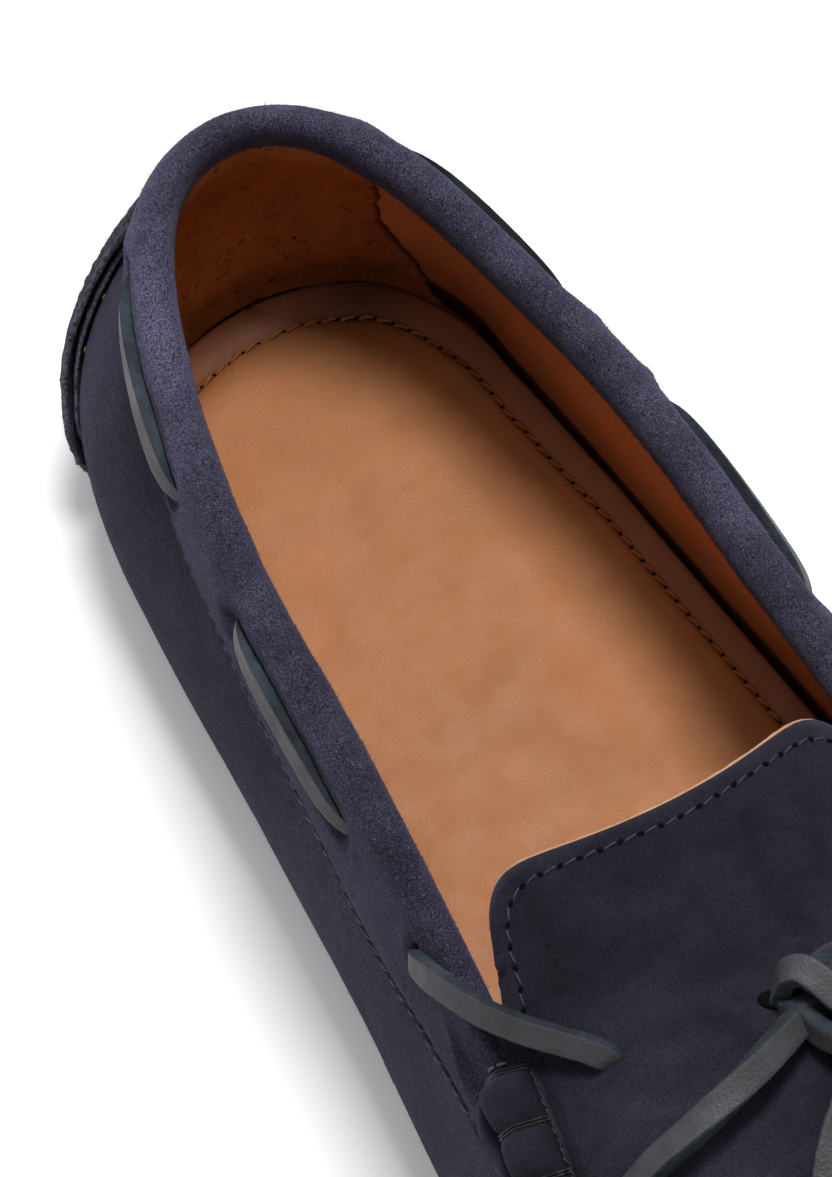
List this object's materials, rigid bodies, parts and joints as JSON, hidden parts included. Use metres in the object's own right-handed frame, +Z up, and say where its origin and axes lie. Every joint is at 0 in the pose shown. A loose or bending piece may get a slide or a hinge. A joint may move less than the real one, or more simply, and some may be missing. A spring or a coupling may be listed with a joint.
{
  "type": "loafer",
  "caption": "Low slip-on moccasin loafer of soft suede with a collar band, a leather thong laced through it and tied at the front, and a studded rubber sole.",
  "frame": {"origin": "centre of the bounding box's base, on the floor under the shoe, measured without the two free lace ends and the knot", "axes": "+X from the heel to the toe, +Y to the outer side of this left shoe, +Z up from the floor"},
  "size_m": [0.2874, 0.0978, 0.0711],
  "materials": {
    "suede": "napped dark blue-grey suede, no shine",
    "tan_leather": "smooth natural tan leather, soft sheen",
    "rubber": "matt dark moulded rubber",
    "lace_leather": "grey-blue leather thong, grain side satin, edges matt"
  },
  "bodies": {
    "root": {"upper": "suede", "collar_band": "suede", "heel_patch": "suede", "insole": "tan_leather", "outsole": "rubber", "lace_bar_rear_medial": "lace_leather", "lace_bar_rear_lateral": "lace_leather", "lace_bar_front_medial": "lace_leather", "lace_bar_front_lateral": "lace_leather", "lace_cross_medial": "lace_leather", "lace_cross_lateral": "lace_leather", "lace_knot": "lace_leather", "lace_end_medial": "lace_leather", "lace_end_front": "lace_leather"}
  },
  "joints": []
}
